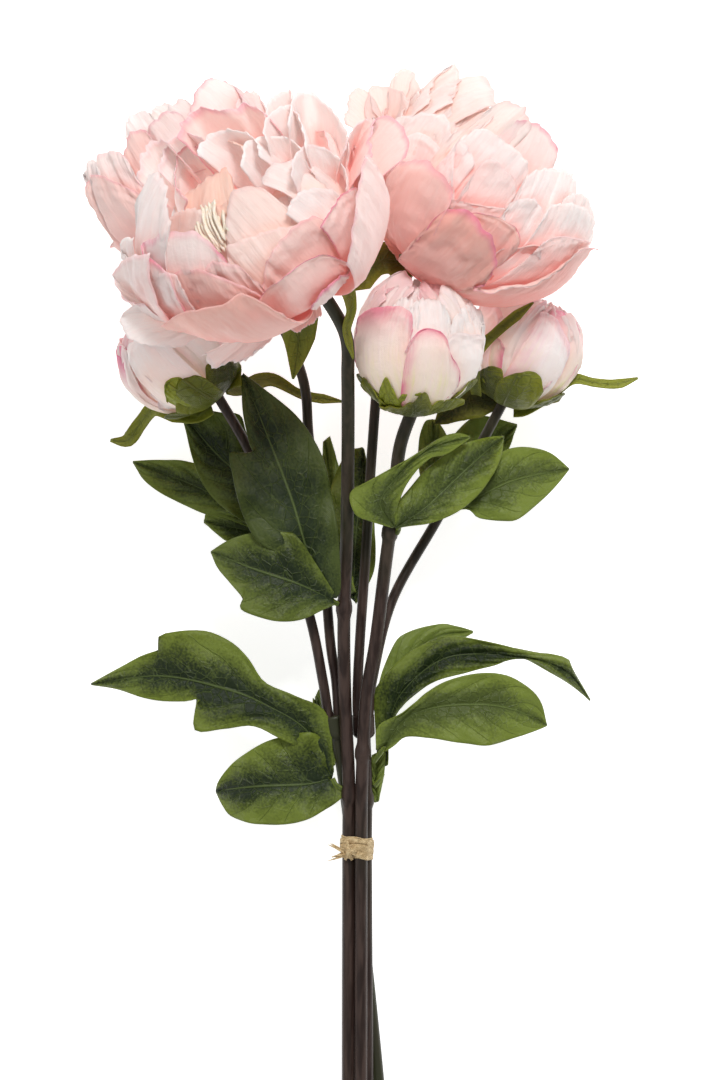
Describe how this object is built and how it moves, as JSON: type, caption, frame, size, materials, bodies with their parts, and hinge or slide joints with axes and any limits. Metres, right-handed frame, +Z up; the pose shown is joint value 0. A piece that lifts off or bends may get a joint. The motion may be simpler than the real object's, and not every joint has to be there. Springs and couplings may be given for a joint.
{
  "type": "artificial peony bunch",
  "caption": "Bunch of fabric peonies, open blooms and half-open buds on leafy plastic-coated wire stems, tied with raffia and laid on its back.",
  "frame": {"origin": "under the middle of the bunch, on the surface it lies on", "axes": "+Y along the stems towards the flowers, +X to the right as seen from above, +Z up"},
  "size_m": [0.2515, 0.5619, 0.196],
  "materials": {
    "petal_fabric": "matt",
    "heart_fabric": "matt",
    "bud_fabric": "matt",
    "bud_foam": "matt",
    "stamen_thread": "matt",
    "sepal_green": "matt",
    "leaf_fabric": "satin",
    "stem_plastic": "satin",
    "stem_wire": "bare",
    "raffia": "matt"
  },
  "bodies": {
    "root": {"front_stem": "stem_plastic", "front_stem_wire": "stem_wire", "middle_stem": "stem_plastic", "middle_stem_wire": "stem_wire", "right_stem": "stem_plastic", "right_stem_wire": "stem_wire", "left_stem": "stem_plastic", "left_stem_wire": "stem_wire", "right_bloom_branch": "stem_plastic", "right_bud_branch": "stem_plastic", "left_bud_branch": "stem_plastic", "left_bloom_branch": "stem_plastic", "front_bloom_guard_petals": "petal_fabric", "front_bloom_outer_petals": "petal_fabric", "front_bloom_middle_petals": "petal_fabric", "front_bloom_inner_petals": "heart_fabric", "front_bloom_heart_petals": "heart_fabric", "front_bloom_stamens": "stamen_thread", "front_bloom_calyx": "sepal_green", "left_bloom_guard_petals": "petal_fabric", "left_bloom_outer_petals": "petal_fabric", "left_bloom_middle_petals": "petal_fabric", "left_bloom_inner_petals": "heart_fabric", "left_bloom_heart_petals": "heart_fabric", "left_bloom_stamens": "stamen_thread", "left_bloom_calyx": "sepal_green", "right_bloom_guard_petals": "petal_fabric", "right_bloom_outer_petals": "petal_fabric", "right_bloom_middle_petals": "petal_fabric", "right_bloom_inner_petals": "heart_fabric", "right_bloom_heart_petals": "heart_fabric", "right_bloom_stamens": "stamen_thread", "right_bloom_calyx": "sepal_green", "centre_bud_outer_petals": "bud_fabric", "centre_bud_inner_petals": "bud_fabric", "centre_bud_heart": "bud_foam", "centre_bud_calyx": "sepal_green", "right_bud_outer_petals": "bud_fabric", "right_bud_inner_petals": "bud_fabric", "right_bud_heart": "bud_foam", "right_bud_calyx": "sepal_green", "left_bud_outer_petals": "bud_fabric", "left_bud_inner_petals": "bud_fabric", "left_bud_heart": "bud_foam", "left_bud_calyx": "sepal_green", "lower_left_leaf": "leaf_fabric", "lower_right_leaf": "leaf_fabric", "lower_back_leaf": "leaf_fabric", "upper_left_leaf": "leaf_fabric", "upper_back_leaf": "leaf_fabric", "centre_leaf": "leaf_fabric", "upper_right_leaf": "leaf_fabric", "upper_far_leaf": "leaf_fabric", "raffia_tie": "raffia", "raffia_knot": "raffia"}
  },
  "joints": []
}
